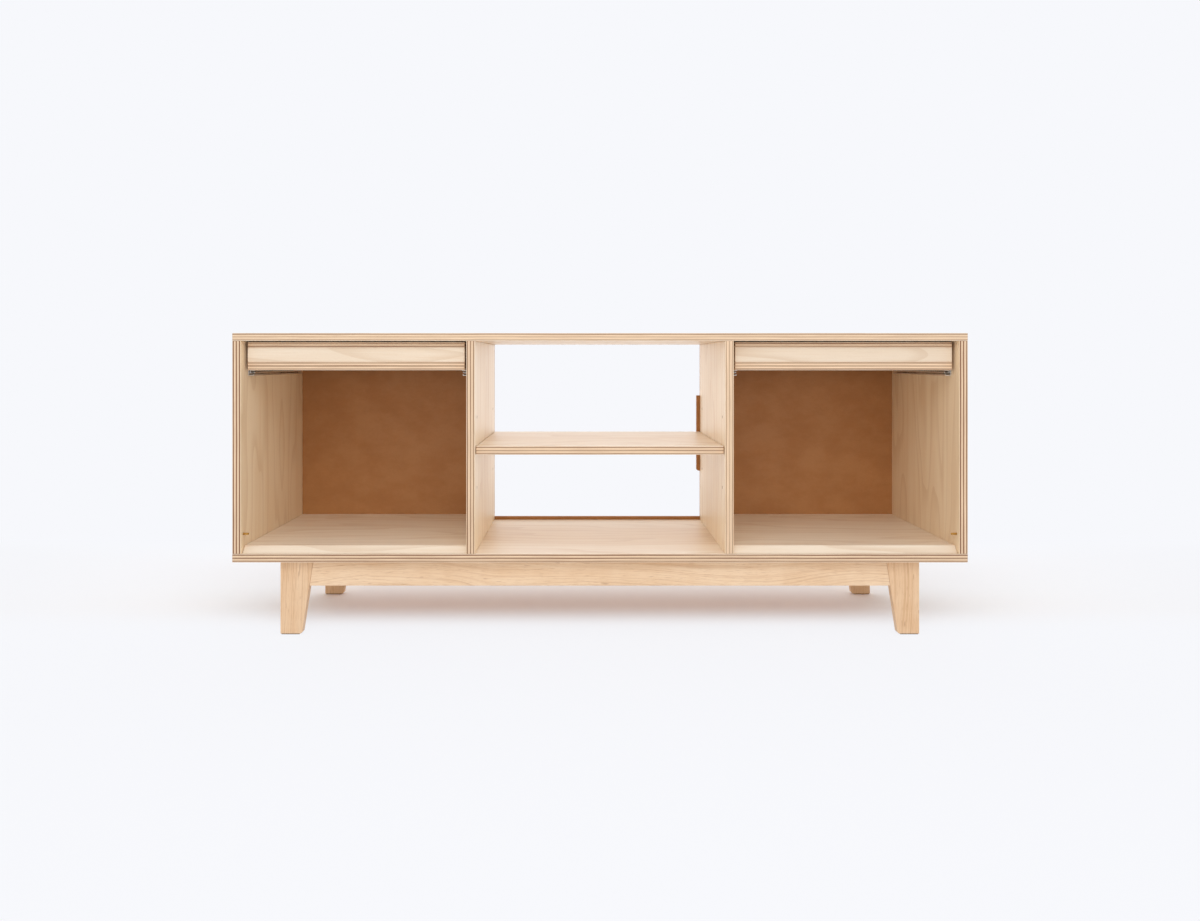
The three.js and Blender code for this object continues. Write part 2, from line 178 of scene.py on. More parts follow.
def new_group(name, inputs, outputs):
    """A node group with the named sockets: its inner graph, its inputs by name and its outlet."""
    tree = bpy.data.node_groups.new(name, "ShaderNodeTree")
    for socket, kind in inputs:
        tree.interface.new_socket(socket, in_out="INPUT", socket_type=kind)
    for socket, kind in outputs:
        tree.interface.new_socket(socket, in_out="OUTPUT", socket_type=kind)
    graph = Graph(tree)
    entry = tree.nodes.new("NodeGroupInput")
    given = {socket: entry.outputs[socket] for socket, _ in inputs}
    return graph, given, tree.nodes.new("NodeGroupOutput")


FLOAT = "NodeSocketFloat"
VECTOR = "NodeSocketVector"
COLOUR = "NodeSocketColor"
LOOK = (("Color", COLOUR), ("Roughness", FLOAT), ("Height", FLOAT))


def close_group(graph, outlet, colour, roughness, height):
    graph.put(outlet.inputs["Color"], colour)
    graph.put(outlet.inputs["Roughness"], roughness)
    graph.put(outlet.inputs["Height"], height)
    return graph.tree


def new_material(name):
    material = bpy.data.materials.new(name)
    material.use_nodes = True
    graph = Graph(material.node_tree)
    shader = material.node_tree.nodes["Principled BSDF"]
    return material, graph, shader


def cover(graph, shader, colour, roughness, height=None):
    """Gives a shader its colour, its roughness and, if there is one, its fine relief."""
    graph.put(shader.inputs["Base Color"], colour)
    graph.put(shader.inputs["Roughness"], roughness)
    if height is not None:
        bump = graph.add("ShaderNodeBump", {"Distance": 1.0, "Height": height})
        graph.put(shader.inputs["Normal"], bump.outputs["Normal"])


# Noise patterns: their stretch along each way, in features to a metre, then their detail and, if
# they aren't the usual ones, their roughness and distortion. A point inside a board is given
# along its grain, across it and through its thickness.

ALONG, ACROSS, THROUGH = 0, 1, 2
PATTERNS = {
    "veneer drift": ((1.1, 7.0, 0.0), 2.0),
    "veneer bands": ((2.2, 34.0, 0.0), 3.0, 0.55, 0.6),
    "veneer streaks": ((9.0, 420.0, 0.0), 3.0, 0.6),
    "veneer pores": ((230.0, 3400.0, 0.0), 1.0),
    "ply wander": ((9.0, 9.0, 0.0), 1.0),
    "ply run": ((14.0, 14.0, 900.0), 3.0, 0.6),
    "ply specks": ((160.0, 1500.0, 1500.0), 2.0, 0.7),
    "ply tone": ((4.0, 4.0, 0.0), 2.0),
    "solid bend": ((3.0, 8.0, 8.0), 2.0),
    "solid sway": ((1.7, 3.0, 3.0), 1.0),
    "solid streaks": ((12.0, 520.0, 520.0), 3.0, 0.6),
    "solid flecks": ((46.0, 880.0, 880.0), 2.0, 0.65),
    "solid spots": ((34.0, 230.0, 230.0), 1.0),
    "solid ripple": ((42.0, 8.0, 8.0), 2.0),
    "solid clouds": ((5.0, 26.0, 26.0), 2.0),
    "sheet mottle": ((14.0, 60.0, 22.0), 5.0, 0.7),
    "sheet fibres": ((900.0, 900.0, 900.0), 3.0, 0.7, 1.5),
    "metal cloud": ((70.0, 70.0, 70.0), 3.0),
    "rolled lines": ((1500.0, 20.0, 1500.0), 2.0),
    "turned lines": ((60.0, 2200.0, 2200.0), 2.0),
    "nylon grain": ((1400.0, 1400.0, 1400.0), 2.0),
}

# The middle of a pattern's values, and the two that nearly all of them lie between
NOISE_MIDDLE = 0.5
NOISE_RANGE = (0.3, 0.7)

# How far a seed moves a point across the grain and through the board, for 1 along it
SEED_ACROSS = 0.37
SEED_THROUGH = 0.61


def pattern(graph, name, point, seed=None):
    """A pattern's value at a point. A seed moves the point to its own place in the pattern."""
    stretch, *settings = PATTERNS[name]
    if seed is not None:
        offset = graph.join(seed, graph.times(seed, SEED_ACROSS), graph.times(seed, SEED_THROUGH))
        point = graph.vector("ADD", point, offset)
    return graph.noise(graph.vector("MULTIPLY", point, stretch), *settings)


# Peeled veneer. Here and below, a ramp gives two values of a pattern and, if they aren't 0 and 1,
# the two that they turn into. A share is how much of another colour is mixed in.

VENEER_PALE = srgb(250, 234, 213)
VENEER_WARM = srgb(235, 208, 177)
VENEER_LINE = srgb(214, 182, 148)

VENEER_RINGS = 11.0
RING_RISE = (0.55, 0.95)
RING_FALL = (0.96, 1.0, 1.0, 0.0)
RING_SHARE = 0.3
PORE_RAMP = (0.66, 0.74)
PORE_SHARE = 0.3
PORE_DEPTH = 0.00004
BAND_RAMP = (0.35, 0.75)
BAND_WARMTH = 0.42
LEAST_WARMTH = 0.02
STREAK_WARMTH = (0.45, 0.8, 0.0, 0.3)
STREAK_HEIGHT = 0.00003


def veneer_look(graph, point, seed):
    """Peeled birch: pale, with wide faint bands, soft ring lines, fine streaks and short pores."""
    drift = pattern(graph, "veneer drift", point, seed)
    bands = pattern(graph, "veneer bands", point, seed)
    streaks = pattern(graph, "veneer streaks", point, seed)
    pores = pattern(graph, "veneer pores", point, seed)
    ring = graph.math("FRACT", graph.times(drift, VENEER_RINGS))
    ring_line = graph.times(graph.remap(ring, *RING_RISE), graph.remap(ring, *RING_FALL))
    pore = graph.remap(pores, *PORE_RAMP)
    warmth = graph.scaled(graph.remap(bands, *BAND_RAMP), BAND_WARMTH, LEAST_WARMTH)
    warmth = graph.plus(warmth, graph.remap(streaks, *STREAK_WARMTH))
    colour = graph.tint(warmth, VENEER_PALE, VENEER_WARM)
    colour = graph.tint(graph.times(ring_line, RING_SHARE), colour, VENEER_LINE)
    colour = graph.tint(graph.times(pore, PORE_SHARE), colour, VENEER_LINE)
    height = graph.scaled(streaks, STREAK_HEIGHT, graph.times(pore, -PORE_DEPTH))
    return colour, height


# Plywood, whose inner plies come in pairs of a crossed one and one along the board

PLY_LONG = srgb(255, 225, 190)
PLY_END = srgb(150, 104, 74)
PLY_GLUE = srgb(112, 76, 52)

# Of two plies, the share of one ply's thickness that the crossed one takes
CROSSED_SHARE = 0.8

PLY_WANDER = 0.0006
PLY_SEED_STEP = 3.17
PLY_END_RAMP = (0.15, 0.75)
RUN_DARKNESS = (0.3, 0.75, 0.0, 0.35)
DARKEST_PLY = 1.05
PLY_SPREAD = 0.35
SPECK_DARKNESS = (0.25, 0.7, 0.75, 1.05)
SLOW_DARKNESS = (*NOISE_RANGE, 0.82, 1.1)
PLY_TONES = (0.0, 1.0, 0.93, 1.02)
SEAM_RAMP = (0.00004, 0.00016, 1.0, 0.0)
SEAM_SHARE = 0.45
SEAM_DEPTH = 0.00006
SPECK_HEIGHT = 0.00005
LONG_ROUGHNESS = 0.42
END_ROUGHNESS = 0.6
RUN_ROUGHNESS = 0.08


def plywood_group():
    """Plywood: veneer on its faces, and plies and glue lines where its edges cut through them."""
    inputs = (
        ("Point", VECTOR),
        ("Facing", VECTOR),
        ("Thickness", FLOAT),
        ("Veneer", FLOAT),
        ("Layers", FLOAT),
        ("Seed", FLOAT),
        ("Depth of tone", FLOAT),
        ("Lean of tone", FLOAT),
        ("Drift", FLOAT),
        ("Drift tone", COLOUR),
    )
    graph, given, outlet = new_group("plywood", inputs, LOOK)
    point, seed = given["Point"], given["Seed"]
    along, across, through = graph.split(point)
    facing = graph.split(graph.vector("ABSOLUTE", given["Facing"]))

    # The level counts inner plies from the low face, on lines that wander a little
    wander = graph.minus(pattern(graph, "ply wander", point, seed), NOISE_MIDDLE)
    depth = graph.scaled(wander, PLY_WANDER, through)
    core = graph.scaled(given["Veneer"], -2.0, given["Thickness"])
    layer = graph.math("DIVIDE", core, given["Layers"])
    level = graph.math("DIVIDE", graph.minus(depth, given["Veneer"]), layer)
    above = graph.math("GREATER_THAN", level, 0.0)
    below = graph.math("LESS_THAN", level, given["Layers"])
    inside = graph.times(above, below)
    rise = graph.minus(level, (1.0 - CROSSED_SHARE) / 2)
    pair = graph.math("FLOOR", graph.times(rise, 0.5))
    phase = graph.scaled(pair, -2.0, rise)
    is_crossed = graph.math("LESS_THAN", phase, CROSSED_SHARE)
    crossed = graph.times(inside, is_crossed)
    index = graph.scaled(pair, 2.0, is_crossed)

    # A crossed layer's grain runs across the board, so it shows its end grain on the long edges
    layer_along = graph.blend(crossed, along, across)
    layer_across = graph.blend(crossed, across, along)
    layer_facing = graph.blend(crossed, facing[ALONG], facing[ACROSS])
    endness = graph.remap(layer_facing, *PLY_END_RAMP)
    layer_seed = graph.scaled(index, PLY_SEED_STEP, seed)
    layer_tone = graph.random(layer_seed)
    layer_place = graph.join(layer_along, layer_across, depth)
    run = pattern(graph, "ply run", layer_place, layer_seed)
    specks = pattern(graph, "ply specks", layer_place, layer_seed)
    slow = pattern(graph, "ply tone", layer_place, layer_seed)

    # End grain is darker, by the layer, the specks, the slow tone and the lean to the low face
    end_depth = graph.scaled(layer_tone, -PLY_SPREAD, DARKEST_PLY)
    end_depth = graph.times(end_depth, given["Depth of tone"])
    end_depth = graph.times(end_depth, graph.remap(specks, *SPECK_DARKNESS))
    end_depth = graph.times(end_depth, graph.remap(slow, *SLOW_DARKNESS))
    height_share = graph.math("DIVIDE", level, graph.most(given["Layers"], 1.0))
    lean = graph.minus(graph.times(height_share, height_share), 1.0)
    lean = graph.scaled(lean, given["Lean of tone"], 1.0)
    end_depth = graph.times(end_depth, lean)
    colour = graph.tint(graph.remap(run, *RUN_DARKNESS), PLY_LONG, PLY_END)
    colour = graph.tint(graph.times(endness, end_depth), colour, PLY_END)

    # Glue lines lie where the layers meet
    past = graph.absolute(graph.minus(phase, CROSSED_SHARE))
    to_seam = graph.least(graph.least(phase, past), graph.minus(2.0, phase))
    seam = graph.remap(graph.times(to_seam, layer), *SEAM_RAMP)
    seam = graph.times(seam, graph.times(inside, given["Depth of tone"]))
    colour = graph.tint(graph.times(seam, SEAM_SHARE), colour, PLY_GLUE)
    tone = graph.remap(layer_tone, *PLY_TONES, "LINEAR")
    colour = graph.tint(1.0, colour, graph.join(tone, tone, tone), "MULTIPLY")

    face_colour, face_height = veneer_look(graph, point, seed)
    # Faces take the board's tone, which on some boards is painted bounce light and shade
    face_colour = graph.tint(given["Drift"], face_colour, given["Drift tone"], "MULTIPLY")
    colour = graph.tint(inside, face_colour, colour)
    edge_height = graph.scaled(specks, SPECK_HEIGHT, graph.times(seam, -SEAM_DEPTH))
    height = graph.blend(inside, face_height, edge_height)
    rough = graph.blend(graph.times(inside, endness), LONG_ROUGHNESS, END_ROUGHNESS)
    rough = graph.scaled(run, RUN_ROUGHNESS, rough)
    return close_group(graph, outlet, colour, rough, height)


# Solid birch, sawn from a trunk whose middle lies beside the board

SOLID_PALE = srgb(252, 222, 188)
SOLID_WARM = srgb(230, 187, 143)
SOLID_LINE = srgb(192, 142, 96)
SOLID_END = srgb(196, 150, 108)
SOLID_STREAK = srgb(170, 112, 72)

TRUNK_ACROSS = 0.03
TRUNK_THROUGH = 0.05
RING_BEND = 0.035
RING_SWAY = 0.12
RINGS_PER_METRE = 560.0
RING_CHANGE = 2.0
RING_NOISE = (3.0, 0.6)
LATE_RAMP = (0.5, 0.7)
LATE_SHARE = 0.28
FLECK_RAMP = (0.55, 0.72)
FLECK_SHARE = 0.45
FLECK_DEPTH = 0.00004
CLOUD_WARMTH = (0.3, 0.75, 0.0, 0.45)
RIPPLE_WARMTH = (*NOISE_RANGE, 0.0, 0.12)
RING_WARMTH = (*NOISE_RANGE, 0.0, 0.3)
STREAK_SHARE = (0.5, 0.8, 0.0, 0.25)
SPOT_SHARE = (0.7, 0.78, 0.0, 0.4)
SOLID_END_RAMP = (0.4, 0.9)
SOLID_END_SHARE = 0.6
SOLID_ROUGHNESS = (0.4, 0.55)
STREAK_ROUGHNESS = 0.1


def solid_group():
    """Solid birch: growth rings that arch along the board, short flecks and a faint ripple."""
    inputs = (("Point", VECTOR), ("Facing", VECTOR), ("Seed", FLOAT), ("Depth of tone", FLOAT))
    graph, given, outlet = new_group("solid_wood", inputs, LOOK)
    point, seed = given["Point"], given["Seed"]
    facing = graph.split(graph.vector("ABSOLUTE", given["Facing"]))
    along, across, through = graph.split(point)

    bend = graph.minus(pattern(graph, "solid bend", point, seed), NOISE_MIDDLE)
    sway = graph.minus(pattern(graph, "solid sway", point, seed), NOISE_MIDDLE)
    from_trunk = (
        graph.plus(graph.scaled(bend, RING_BEND, across), TRUNK_ACROSS),
        graph.plus(graph.scaled(sway, RING_SWAY, through), TRUNK_THROUGH),
    )
    squares = graph.plus(*(graph.times(distance, distance) for distance in from_trunk))
    radius = graph.times(graph.math("SQRT", squares), RINGS_PER_METRE)
    rings = graph.noise(graph.join(radius, graph.times(along, RING_CHANGE), seed), *RING_NOISE)
    late = graph.remap(rings, *LATE_RAMP)
    streaks = pattern(graph, "solid streaks", point, seed)
    fleck = graph.remap(pattern(graph, "solid flecks", point, seed), *FLECK_RAMP)
    spots = pattern(graph, "solid spots", point, seed)
    ripple = pattern(graph, "solid ripple", point, seed)
    clouds = pattern(graph, "solid clouds", point, seed)

    warmth = graph.plus(graph.remap(clouds, *CLOUD_WARMTH), graph.remap(ripple, *RIPPLE_WARMTH))
    warmth = graph.plus(warmth, graph.remap(rings, *RING_WARMTH))
    # The depth of tone is the board's own, and on the rear rail and rear legs also painted shade
    warmth = graph.plus(warmth, given["Depth of tone"])
    colour = graph.tint(warmth, SOLID_PALE, SOLID_WARM)
    colour = graph.tint(graph.times(late, LATE_SHARE), colour, SOLID_LINE)
    colour = graph.tint(graph.times(fleck, FLECK_SHARE), colour, SOLID_LINE)
    colour = graph.tint(graph.remap(streaks, *STREAK_SHARE), colour, SOLID_WARM)
    colour = graph.tint(graph.remap(spots, *SPOT_SHARE), colour, SOLID_STREAK)
    endness = graph.remap(facing[ALONG], *SOLID_END_RAMP)
    colour = graph.tint(graph.times(endness, SOLID_END_SHARE), colour, SOLID_END)
    height = graph.scaled(streaks, STREAK_HEIGHT, graph.times(fleck, -FLECK_DEPTH))
    rough = graph.scaled(streaks, STREAK_ROUGHNESS, graph.blend(endness, *SOLID_ROUGHNESS))
    return close_group(graph, outlet, colour, rough, height)


PLYWOOD = plywood_group()
SOLID = solid_group()

# Tones that the faces of some boards are multiplied by, and ramps of the tone's share over the
# board: their way, their two places from the board's low corner, and the shares there. The gold low
# on the dividers and on the sides' inner faces is painted warm bounce light and shade. The tan band
# across the bottom panel is painted bounce light and the shelf's painted shadow. The right drawer
# front's deeper tone is its own.

NO_DRIFT = ((1.0, 1.0, 1.0, 1.0), ())
PAINTED_BOUNCE_GOLD = (1.04, 0.985, 0.86, 1.0)
PAINTED_SHADE_TAN = (0.91, 0.85, 0.77, 1.0)
DEEPER = (0.93, 0.9, 0.87, 1.0)
TONES_AND_PAINTED_LIGHT = {
    "bottom_panel": (PAINTED_SHADE_TAN, ((ACROSS, 0.04, 0.16, 0.0, 1.0), (ACROSS, 0.22, 0.37, 1.0, 0.0))),
    "left_divider": (PAINTED_BOUNCE_GOLD, ((ALONG, 0.3, 0.02, 0.3, 1.0),)),
    "right_divider": (PAINTED_BOUNCE_GOLD, ((ALONG, 0.3, 0.02, 0.7, 1.0),)),
    "left_side": (PAINTED_BOUNCE_GOLD, ((THROUGH, 0.006, 0.01, 0.0, 1.0),)),
    "right_side": (PAINTED_BOUNCE_GOLD, ((THROUGH, 0.01, 0.006, 0.0, 1.0),)),
    "right_drawer_front": (DEEPER, ()),
}

# The clear lacquer on the wood
WOOD_SPECULAR = 0.4
LACQUER = 0.12
LACQUER_ROUGHNESS = 0.35


def board_place(graph, low, grain, depth):
    """A board's own point and facing: along its grain, across it and through its thickness."""
    across = X + Y + Z - grain - depth
    order = (grain, across, depth)
    coordinates = graph.add("ShaderNodeTexCoord")
    place = graph.split(graph.vector("SUBTRACT", coordinates.outputs["Object"], tuple(low)))
    normal = graph.split(coordinates.outputs["Normal"])
    point = graph.join(*(place[axis] for axis in order))
    facing = graph.join(*(normal[axis] for axis in order))
    return point, facing


def finish_wood(graph, shader, look):
    cover(graph, shader, *(look.outputs[socket] for socket, _ in LOOK))
    shader.inputs["Specular IOR Level"].default_value = WOOD_SPECULAR
    shader.inputs["Coat Weight"].default_value = LACQUER
    shader.inputs["Coat Roughness"].default_value = LACQUER_ROUGHNESS


def plywood(name, grain, depth, veneer, layers, seed, tone, lean=0.0):
    """The plywood of a board, given the ways of its grain and of its thickness."""
    material, graph, shader = new_material(name)
    low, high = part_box(name)
    point, facing = board_place(graph, low, grain, depth)
    drift_tone, ramps = TONES_AND_PAINTED_LIGHT.get(name, NO_DRIFT)
    share = 1.0
    for way, *ramp in ramps:
        share = graph.times(share, graph.remap(graph.split(point)[way], *ramp))
    values = {
        "Point": point,
        "Facing": facing,
        "Thickness": high[depth] - low[depth],
        "Veneer": veneer,
        "Layers": float(layers),
        "Seed": seed,
        "Depth of tone": tone,
        "Lean of tone": lean,
        "Drift": share,
        "Drift tone": drift_tone,
    }
    finish_wood(graph, shader, graph.add("ShaderNodeGroup", values, node_tree=PLYWOOD))
    return material


def solid_wood(name, grain, depth, seed, tone):
    """The solid wood of a board, given the ways of its grain and of its thickness."""
    material, graph, shader = new_material(name)
    low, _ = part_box(name)
    point, facing = board_place(graph, low, grain, depth)
    values = {"Point": point, "Facing": facing, "Seed": seed, "Depth of tone": tone}
    finish_wood(graph, shader, graph.add("ShaderNodeGroup", values, node_tree=SOLID))
    return material


# Other materials

SHEET_PALE = srgb(190, 133, 78)
SHEET_DARK = srgb(180, 122, 69)
SHEET_FIBRE = srgb(140, 90, 50)
FIBRE_SHARE = (0.45, 0.75, 0.0, 0.35)
FIBRE_HEIGHT = 0.00006
SHEET_ROUGHNESS = (0.5, 0.62)


def brown_sheet():
    """Hard fibre sheet: warm brown, fine fibres and a faint mottle."""
    material, graph, shader = new_material("brown_sheet")
    place = graph.object_place()
    mottle = pattern(graph, "sheet mottle", place)
    fibres = pattern(graph, "sheet fibres", place)
    colour = graph.tint(graph.remap(mottle, *NOISE_RANGE), SHEET_PALE, SHEET_DARK)
    colour = graph.tint(graph.remap(fibres, *FIBRE_SHARE), colour, SHEET_FIBRE)
    roughness = graph.remap(mottle, *NOISE_RANGE, *SHEET_ROUGHNESS)
    cover(graph, shader, colour, roughness, graph.times(fibres, FIBRE_HEIGHT))
    return material


METAL_RAMP = (0.35, 0.65)
LINE_HEIGHT = 0.00001


def metal(name, light, dark, roughness, lines_pattern):
    """A metal with fine lines and slow changes of tone."""
    material, graph, shader = new_material(name)
    place = graph.object_place()
    lines = pattern(graph, lines_pattern, place)
    cloud = pattern(graph, "metal cloud", place)
    tone = graph.scaled(lines, 0.5, graph.times(cloud, 0.5))
    colour = graph.tint(graph.remap(tone, *METAL_RAMP), light, dark)
    rough = graph.remap(cloud, *NOISE_RANGE, *roughness)
    cover(graph, shader, colour, rough, graph.times(lines, LINE_HEIGHT))
    shader.inputs["Metallic"].default_value = 1.0
    return material


NYLON_PALE = srgb(70, 60, 52)
NYLON_DARK = srgb(52, 44, 38)
NYLON_ROUGHNESS = (0.45, 0.6)


def nylon():
    material, graph, shader = new_material("nylon")
    grain = pattern(graph, "nylon grain", graph.object_place())
    colour = graph.tint(graph.remap(grain, *NOISE_RANGE), NYLON_PALE, NYLON_DARK)
    cover(graph, shader, colour, graph.remap(grain, *NOISE_RANGE, *NYLON_ROUGHNESS))
    return material


BROWN = brown_sheet()
ZINC = metal("zinc", srgb(246, 244, 241), srgb(222, 220, 216), (0.42, 0.56), "rolled lines")
BRASS = metal("brass", srgb(214, 172, 96), srgb(184, 140, 70), (0.2, 0.34), "turned lines")
STEEL = metal("steel", srgb(176, 170, 160), srgb(136, 130, 122), (0.28, 0.42), "turned lines")
NYLON = nylon()


WELD_GAP = 0.00001
FLAT_ANGLE = math.radians(0.5)
SHARP_ANGLE = math.radians(32)
EASE_SEGMENTS = 3


def dress(name, material, eased, segments=EASE_SEGMENTS):
    """Gives a piece its material, and rounds its sharp edges a little, as sanding does."""
    piece = nodes[name]
    piece.material_slots[0].material = material
    weld = piece.modifiers.new("weld", "WELD")
    weld.merge_threshold = WELD_GAP
    flat = piece.modifiers.new("flat", "DECIMATE")
    flat.decimate_type = "DISSOLVE"
    flat.angle_limit = FLAT_ANGLE
    bevel = piece.modifiers.new("eased", "BEVEL")
    bevel.width = eased
    bevel.segments = segments
    bevel.limit_method = "ANGLE"
    bevel.angle_limit = SHARP_ANGLE
    bevel.use_clamp_overlap = False


def middle_of(name):
    low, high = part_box(name)
    return (low + high) / 2


# Carcass and drawer fronts. Each board is named with its grain's way, its thickness's way, its
# number of inner plies, how dark its crossed plies are, and how far they pale towards its low face.

PLY_VENEER = 0.0008
BOARD_EASE = 0.0009
BOARD_SEED = 1.7
BOARD_SEED_STEP = 2.3
WIDE_LAYERS = 5
CAP_LAYERS = 3
NO_LAYERS = 0
DRAWER_TONE = 0.9

carcass_boards = [
    ("top_panel", X, Z, WIDE_LAYERS, 0.95, 0.55),
    ("bottom_panel", X, Z, WIDE_LAYERS, 1.0, 0.1),
    ("centre_shelf", X, Z, WIDE_LAYERS, 0.85, 0.0),
    ("left_side", Z, X, WIDE_LAYERS, 1.4, 0.0),
    ("right_side", Z, X, WIDE_LAYERS, 1.3, 0.0),
    ("left_divider", Z, X, WIDE_LAYERS, 0.85, 0.0),
    ("right_divider", Z, X, WIDE_LAYERS, 0.62, 0.0),
    ("left_drawer_front", X, Y, WIDE_LAYERS, DRAWER_TONE, 0.0),
    ("right_drawer_front", X, Y, WIDE_LAYERS, DRAWER_TONE, 0.0),
    ("left_drawer_cap", X, Z, CAP_LAYERS, DRAWER_TONE, 0.0),
    ("right_drawer_cap", X, Z, CAP_LAYERS, DRAWER_TONE, 0.0),
    ("left_drawer_bottom", X, Z, WIDE_LAYERS, DRAWER_TONE, 0.0),
    ("right_drawer_bottom", X, Z, WIDE_LAYERS, DRAWER_TONE, 0.0),
    ("left_record_floor", X, Z, NO_LAYERS, 0.0, 0.0),
    ("right_record_floor", X, Z, NO_LAYERS, 0.0, 0.0),
]
for number, (name, grain, depth, layers, tone, lean) in enumerate(carcass_boards):
    seed = BOARD_SEED + BOARD_SEED_STEP * number
    dress(name, plywood(name, grain, depth, PLY_VENEER, layers, seed, tone, lean), BOARD_EASE)


# Pin holes of the dividers, with painted shade inside them and round their rims

HOLE_PITCH = 0.067
HOLE_RADIUS = 0.0027
HOLE_RIM = 0.0007
HOLE_DARKNESS = 0.8
HOLE_SHADE = srgb(104, 72, 48)


def darken_holes(divider, pins):
    """Paints shade on a divider round the axes of its pin holes, in rows at the pins, above and
    below.
    """
    material = nodes[divider].material_slots[0].material
    graph = Graph(material.node_tree)
    target = material.node_tree.nodes["Principled BSDF"].inputs["Base Color"]
    colour = target.links[0].from_socket
    place = graph.split(graph.object_place())
    centres = [middle_of(pin) for pin in pins]
    aside = [graph.absolute(graph.minus(place[Y], centre[Y])) for centre in centres]
    level = graph.absolute(graph.minus(place[Z], centres[0][Z]))
    next_level = graph.absolute(graph.minus(level, HOLE_PITCH))
    distance = graph.length(graph.join(graph.least(*aside), graph.least(level, next_level)))
    shade = graph.remap(distance, HOLE_RADIUS, HOLE_RADIUS + HOLE_RIM, HOLE_DARKNESS, 0.0)
    graph.put(target, graph.tint(shade, colour, HOLE_SHADE))


for side, _ in SIDES:
    darken_holes(f"{side}_divider", [f"{side}_{row}_shelf_pin" for row in ROWS])


# Drawer boxes

BOX_VENEER = 0.0006
BOX_LAYERS = 7
BOX_EASE = 0.0004
BOX_SEED = 31.3
BAY_SEED_STEP = 5.9
BOX_SEED_STEP = 1.3

for number, (side, _) in enumerate(SIDES):
    box_boards = [
        (f"{side}_drawer_left_side", Y, X),
        (f"{side}_drawer_right_side", Y, X),
        (f"{side}_drawer_back", X, Y),
    ]
    for place, (name, grain, depth) in enumerate(box_boards):
        seed = BOX_SEED + BAY_SEED_STEP * number + BOX_SEED_STEP * place
        board = plywood(name, grain, depth, BOX_VENEER, BOX_LAYERS, seed, DRAWER_TONE)
        dress(name, board, BOX_EASE)


# Base. Each board is named with its grain's way, its thickness's way and how deep its tone is. The
# deeper tone of the rear rail and the rear legs is painted shade, for their place in the cabinet's
# shadow.

SOLID_EASE = 0.0008
SOLID_SEED = 60.1
SOLID_SEED_STEP = 3.7
LEG_TONES_WITH_PAINTED_SHADE = {"front": 0.16, "rear": 0.7}

solid_boards = [
    ("front_rail", X, Y, -0.15),
    ("rear_rail", X, Y, 0.5),
    ("left_base_rail", Y, X, 0.0),
    ("right_base_rail", Y, X, 0.0),
]
for side, _ in SIDES:
    for row in ROWS:
        solid_boards.append((f"{side}_{row}_leg", Z, Y, LEG_TONES_WITH_PAINTED_SHADE[row]))
        solid_boards.append((f"{side}_{row}_corner_block", X, Z, 0.0))
for number, (name, grain, depth, tone) in enumerate(solid_boards):
    seed = SOLID_SEED + SOLID_SEED_STEP * number
    dress(name, solid_wood(name, grain, depth, seed, tone), SOLID_EASE)


# Stop pins, glides and slides

STOP_PIN_EASE = 0.0005
GLIDE_EASE = 0.0004
SLIDE_EASE = 0.00025
SLIDE_EASE_SEGMENTS = 2

for side, _ in SIDES:
    dress(f"{side}_stop_pin", BRASS, STOP_PIN_EASE)
    for row in ROWS:
        dress(f"{side}_{row}_glide", NYLON, GLIDE_EASE)
    for end, _ in SIDES:
        for member in ("cabinet", "middle", "drawer"):
            name = f"{side}_bay_{end}_slide_{member}"
            dress(name, ZINC, SLIDE_EASE, SLIDE_EASE_SEGMENTS)


# Small fittings. A profile gives a distance along the axis, a radius, and 1 where it is crossed.

SEGMENTS = 32
RECESS_NARROWING = 0.62
RECESS_SHARPNESS = 4

# A low domed head with a cross recess, in shares of its height and of its radius
PAN_HEAD = (
    (0.0, 0.97, 0),
    (0.25, 1.0, 0),
    (0.6, 0.88, 0),
    (0.85, 0.72, 0),
    (0.98, 0.62, 0),
    (1.0, 0.56, 0),
    (0.98, 0.52, 1),
    (0.45, 0.4, 1),
    (0.35, 0.0, 0),
)


def link(thing):
    scene.collection.objects.link(thing)
    return thing


def turned(body, start, axis, profile):
    """Adds a form turned round an axis, with a cross cut into it where its profile says so."""
    axis = Vector(axis).normalized()
    side = axis.orthogonal().normalized()
    other = axis.cross(side)
    rings = []
    for distance, radius, crossed in profile:
        centre = Vector(start) + axis * distance
        if radius == 0:
            rings.append([body.verts.new(centre)])
            continue
        ring = []
        for step in range(SEGMENTS):
            angle = 2 * math.pi * step / SEGMENTS
            between_arms = 1 - abs(math.cos(2 * angle)) ** RECESS_SHARPNESS
            narrowing = RECESS_NARROWING * crossed * between_arms
            way = side * math.cos(angle) + other * math.sin(angle)
            ring.append(body.verts.new(centre + way * radius * (1 - narrowing)))
        rings.append(ring)
    for near, far in zip(rings, rings[1:]):
        for step in range(SEGMENTS):
            after = (step + 1) % SEGMENTS
            corners = [near[step % len(near)], near[after % len(near)]]
            corners += [far[after % len(far)], far[step % len(far)]]
            body.faces.new(list(dict.fromkeys(corners)))


def pan_head(radius, height, start=0.0):
    """The profile of a screw's head, from its seat to the floor of its recess."""
    return [(start + height * rise, radius * width, crossed) for rise, width, crossed in PAN_HEAD]


def new_piece(name, body, material, owner, replaced=()):
    bmesh.ops.recalc_face_normals(body, faces=body.faces)
    mesh = bpy.data.meshes.new(name)
    body.to_mesh(mesh)
    body.free()
    mesh.shade_smooth()
    mesh.set_sharp_from_angle(angle=SHARP_ANGLE)
    mesh.materials.append(material)
    piece = link(bpy.data.objects.new(name, mesh))
    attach(piece, owner)
    if replaced:
        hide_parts(*replaced)
    return piece


# Shelf pins, each with a thin collar against the divider

PIN_COLLAR_RADIUS = 0.0038
PIN_COLLAR = 0.0008
PIN_ROUND = 0.0007
PIN_ROUND_SHARE = 0.3

